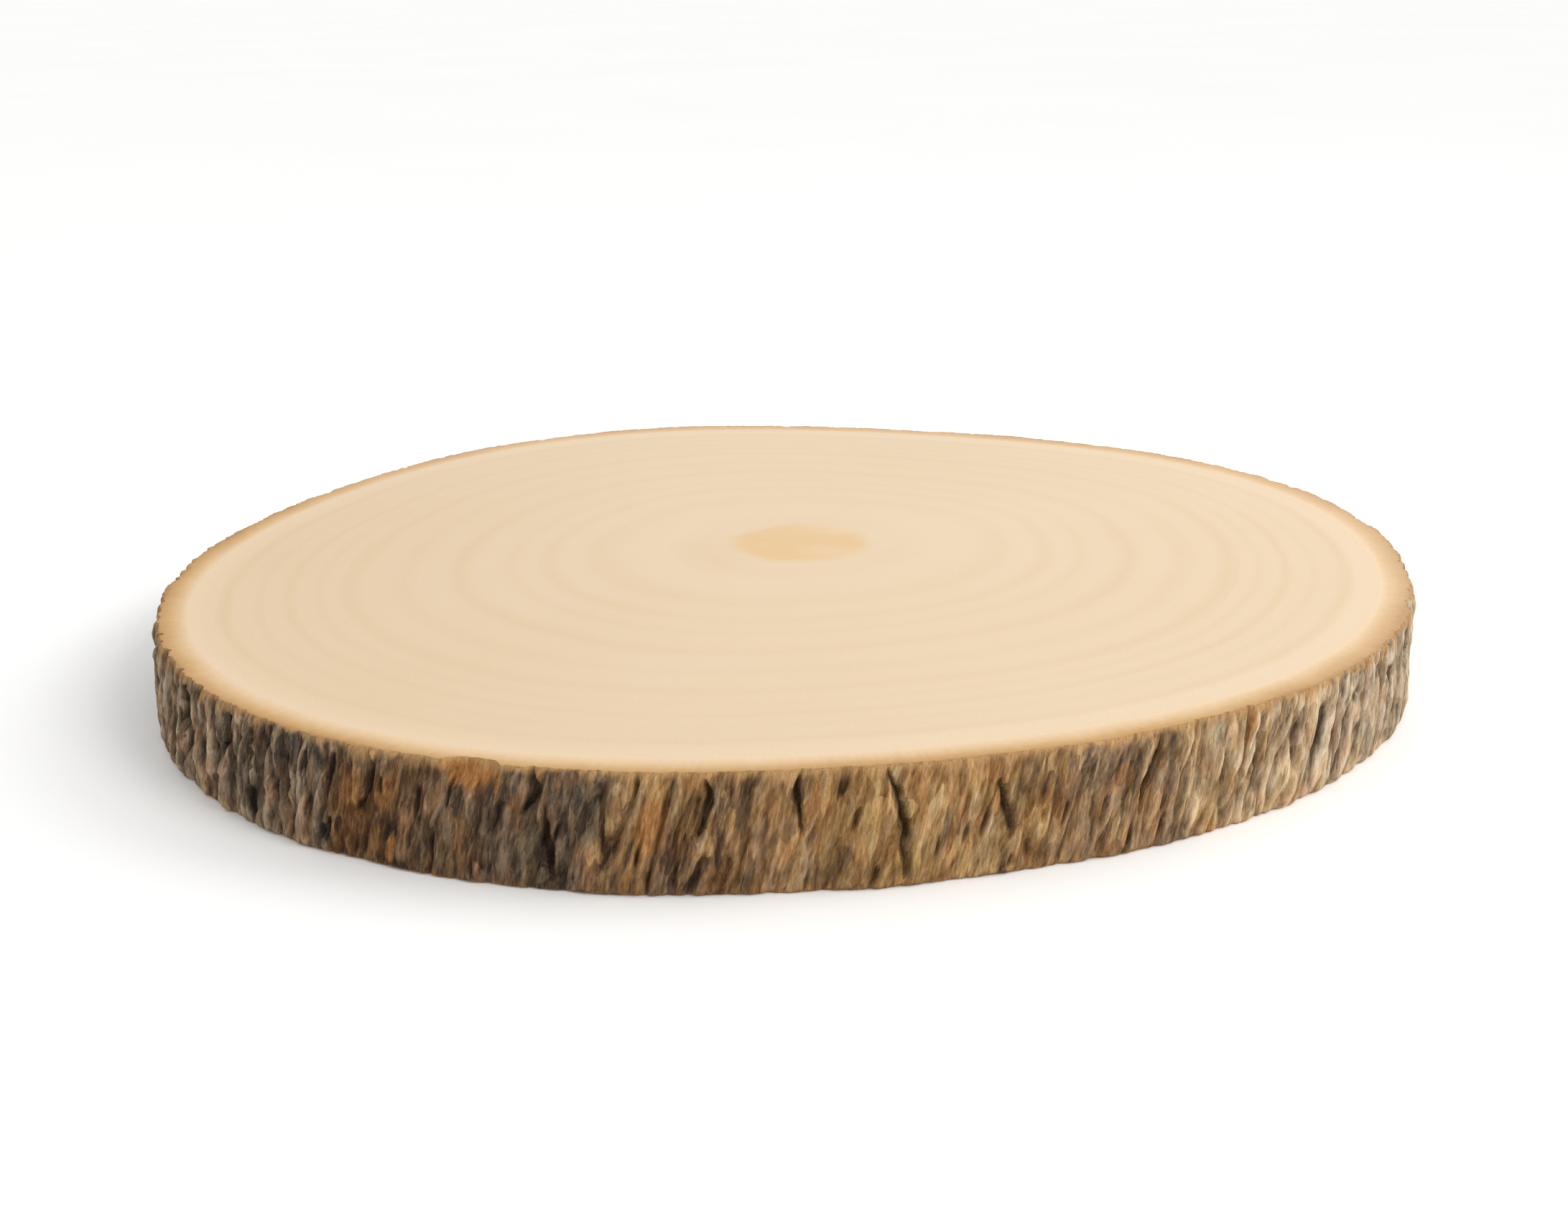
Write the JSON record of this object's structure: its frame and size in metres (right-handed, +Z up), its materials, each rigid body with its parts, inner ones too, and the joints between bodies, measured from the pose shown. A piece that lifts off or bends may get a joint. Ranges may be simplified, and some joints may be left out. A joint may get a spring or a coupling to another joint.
{
  "type": "wood slice",
  "caption": "Round slice sawn across a trunk, with two flat faces, growth rings, a tan ring of cut bark and rough furrowed bark left on its edge.",
  "frame": {"origin": "centre of the flat underside, on the axis of the slice's mean outline", "axes": "+Z up, along the trunk, from the underside to the upper sawn face. -Y is the side that the picture shows, and +X is to its right"},
  "size_m": [0.2922, 0.2774, 0.024],
  "materials": {
    "wood": "pale end grain, sanded smooth, matt, with faint darker growth rings",
    "inner_bark": "tan bark cut across, finely fibrous, matt",
    "bark": "rough brown bark with grey, tan and red-brown patches, matt"
  },
  "bodies": {
    "root": {"wood_slice": "wood"}
  },
  "joints": []
}
